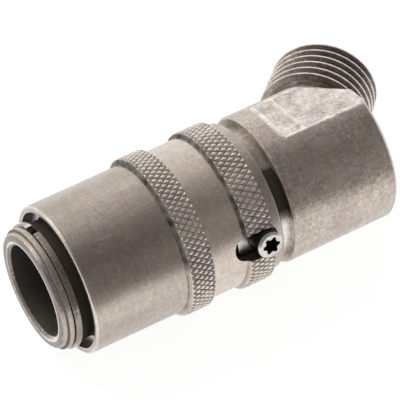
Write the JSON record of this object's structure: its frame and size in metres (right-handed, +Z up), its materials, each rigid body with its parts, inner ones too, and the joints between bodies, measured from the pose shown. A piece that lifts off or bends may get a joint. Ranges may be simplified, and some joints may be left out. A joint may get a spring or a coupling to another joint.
{
  "type": "quick coupling socket",
  "caption": "Ball-locking quick coupling socket with a sliding knurled sleeve, shut-off valve and a 45 degree elbow ending in a male threaded stud.",
  "frame": {"origin": "centre of the plug bore's mouth, on the nose face", "axes": "+X along the coupling's axis towards the elbow, +Z up as the coupling lies, stud towards +Y and a little down"},
  "size_m": [0.0629, 0.0335, 0.024],
  "materials": {
    "plated_steel": "satin nickel plate, finely mottled",
    "screw_steel": "bright machined",
    "spring_steel": "drawn wire",
    "ball_steel": "polished",
    "seal_rubber": "matt black",
    "valve_brass": "turned"
  },
  "bodies": {
    "body": {"socket_body": "plated_steel", "elbow_body": "plated_steel", "lock_screw": "screw_steel", "snap_ring": "spring_steel", "sleeve_spring": "spring_steel", "plug_seal": "seal_rubber", "valve_spring": "spring_steel", "valve_guide": "valve_brass", "body_seal": "seal_rubber"},
    "sleeve": {"locking_sleeve": "plated_steel"},
    "valve": {"valve_poppet": "valve_brass", "poppet_seal": "seal_rubber"},
    "locking_ball_1": {"locking_ball_1": "ball_steel"},
    "locking_ball_2": {"locking_ball_2": "ball_steel"},
    "locking_ball_3": {"locking_ball_3": "ball_steel"},
    "locking_ball_4": {"locking_ball_4": "ball_steel"},
    "locking_ball_5": {"locking_ball_5": "ball_steel"},
    "locking_ball_6": {"locking_ball_6": "ball_steel"},
    "locking_ball_7": {"locking_ball_7": "ball_steel"},
    "locking_ball_8": {"locking_ball_8": "ball_steel"}
  },
  "joints": [
    {"name": "sleeve_slide", "type": "slide", "parent": "body", "child": "sleeve", "axis": [1, 0, 0], "range_m": [0, 0.0017], "stiffness_N_per_m": 1500, "deforming": ["sleeve_spring"]},
    {"name": "valve_slide", "type": "slide", "parent": "body", "child": "valve", "axis": [1, 0, 0], "range_m": [0, 0.004], "stiffness_N_per_m": 600, "deforming": ["valve_spring"]},
    {"name": "ball_1_slide", "type": "slide", "parent": "body", "child": "locking_ball_1", "axis": [0, 0.6204, 0.7843], "range_m": [0, 0.000651]},
    {"name": "ball_2_slide", "type": "slide", "parent": "body", "child": "locking_ball_2", "axis": [0, 0.9933, 0.1159], "range_m": [0, 0.000651]},
    {"name": "ball_3_slide", "type": "slide", "parent": "body", "child": "locking_ball_3", "axis": [0, 0.7843, -0.6204], "range_m": [0, 0.000651]},
    {"name": "ball_4_slide", "type": "slide", "parent": "body", "child": "locking_ball_4", "axis": [0, 0.1159, -0.9933], "range_m": [0, 0.000651]},
    {"name": "ball_5_slide", "type": "slide", "parent": "body", "child": "locking_ball_5", "axis": [0, -0.6204, -0.7843], "range_m": [0, 0.000651]},
    {"name": "ball_6_slide", "type": "slide", "parent": "body", "child": "locking_ball_6", "axis": [0, -0.9933, -0.1159], "range_m": [0, 0.000651]},
    {"name": "ball_7_slide", "type": "slide", "parent": "body", "child": "locking_ball_7", "axis": [0, -0.7843, 0.6204], "range_m": [0, 0.000651]},
    {"name": "ball_8_slide", "type": "slide", "parent": "body", "child": "locking_ball_8", "axis": [0, -0.1159, 0.9933], "range_m": [0, 0.000651]}
  ],
  "couplings": [
    {"joint": "ball_1_slide", "follows": "sleeve_slide", "ratio": 0.38235},
    {"joint": "ball_2_slide", "follows": "sleeve_slide", "ratio": 0.38235},
    {"joint": "ball_3_slide", "follows": "sleeve_slide", "ratio": 0.38235},
    {"joint": "ball_4_slide", "follows": "sleeve_slide", "ratio": 0.38235},
    {"joint": "ball_5_slide", "follows": "sleeve_slide", "ratio": 0.38235},
    {"joint": "ball_6_slide", "follows": "sleeve_slide", "ratio": 0.38235},
    {"joint": "ball_7_slide", "follows": "sleeve_slide", "ratio": 0.38235},
    {"joint": "ball_8_slide", "follows": "sleeve_slide", "ratio": 0.38235}
  ]
}
